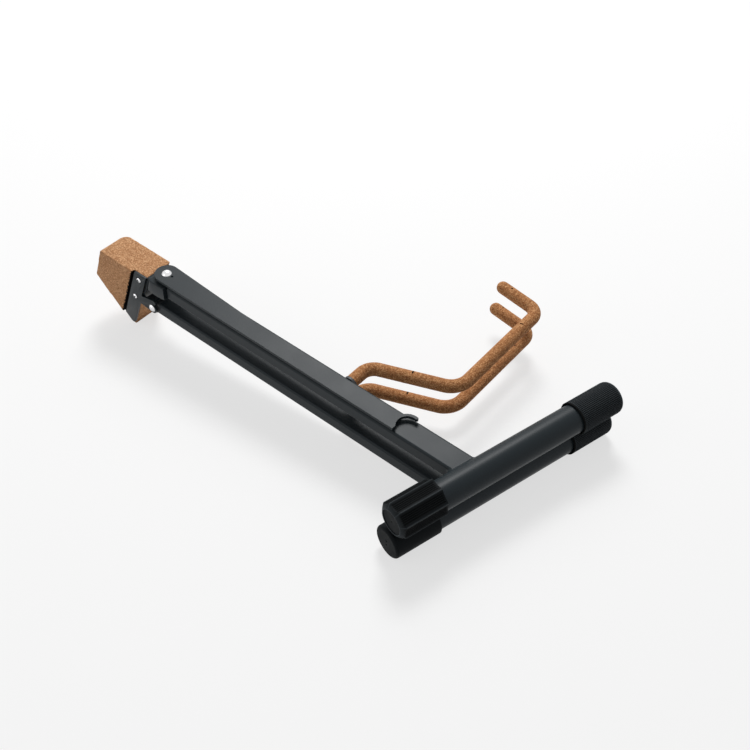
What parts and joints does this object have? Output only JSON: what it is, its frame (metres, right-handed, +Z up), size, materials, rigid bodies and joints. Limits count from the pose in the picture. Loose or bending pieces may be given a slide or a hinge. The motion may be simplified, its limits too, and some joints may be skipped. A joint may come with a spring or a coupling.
{
  "type": "folding cello stand",
  "caption": "Folding A-frame stand for a cello: hinged tubular legs on round runners, cork-covered hooked arms, a cork head block and a swivelling flat bow holder, folded on its side.",
  "frame": {"origin": "centre of the bounding box on the surface that the folded stand lies on", "axes": "+X along the legs from the head to the runners, +Y the way the arms point, +Z up off the surface that it lies on"},
  "size_m": [0.545, 0.3108, 0.0931],
  "materials": {
    "black_paint": "satin black powder coat",
    "cork": "fine-grained pressed cork, matt",
    "rubber_caps": "matt, finely knurled",
    "black_nylon": "matt moulded",
    "bright_steel": "bright nickel plate",
    "plain_steel": "plain drawn steel"
  },
  "bodies": {
    "upper_frame": {"head_cork_block": "cork", "head_bracket": "black_paint", "hinge_yoke": "black_paint", "hinge_pin": "bright_steel", "hinge_stop_pin": "plain_steel", "hinge_washer_back": "black_nylon", "hinge_washer_front": "black_nylon", "leg_bolt": "plain_steel", "upper_leg_fitting": "black_nylon", "bow_holder_rivet": "bright_steel", "bow_holder_spacer": "black_nylon", "bracket_screw_1": "bright_steel", "bracket_screw_2": "bright_steel", "upper_leg_tube": "black_paint", "upper_runner_tube": "black_paint", "upper_runner_weld": "black_paint", "upper_front_cap": "rubber_caps", "upper_arm_rod": "plain_steel", "upper_arm_cork": "cork", "upper_arm_collar": "black_nylon"},
    "lower_leg": {"lower_leg_fitting": "black_nylon", "lower_back_cap": "rubber_caps", "lower_leg_tube": "black_paint", "lower_runner_tube": "black_paint", "lower_runner_weld": "black_paint", "lower_front_cap": "rubber_caps", "lower_arm_rod": "plain_steel", "lower_arm_cork": "cork", "lower_arm_collar": "black_nylon", "hinge_bush": "black_nylon"},
    "bow_holder_arm": {"bow_holder": "black_paint"},
    "levelling_grip": {"levelling_cap": "rubber_caps"}
  },
  "joints": [
    {"name": "leg_fold", "type": "hinge", "parent": "upper_frame", "child": "lower_leg", "pos_m": [-0.18586, -0.06706, 0.04557], "axis": [0.0008, 0.9998, 0.021], "range_deg": [0, 45]},
    {"name": "bow_holder_swivel", "type": "hinge", "parent": "upper_frame", "child": "bow_holder_arm", "pos_m": [-0.16856, -0.06799, 0.08899], "axis": [-0.0747, 0.021, -0.997], "range_deg": [0, 180]},
    {"name": "levelling_turn", "type": "hinge", "parent": "upper_frame", "child": "levelling_grip", "pos_m": [0.19618, -0.12906, 0.04874], "axis": [0.2706, 0.9627, 0], "range_deg": [0, 110]}
  ]
}
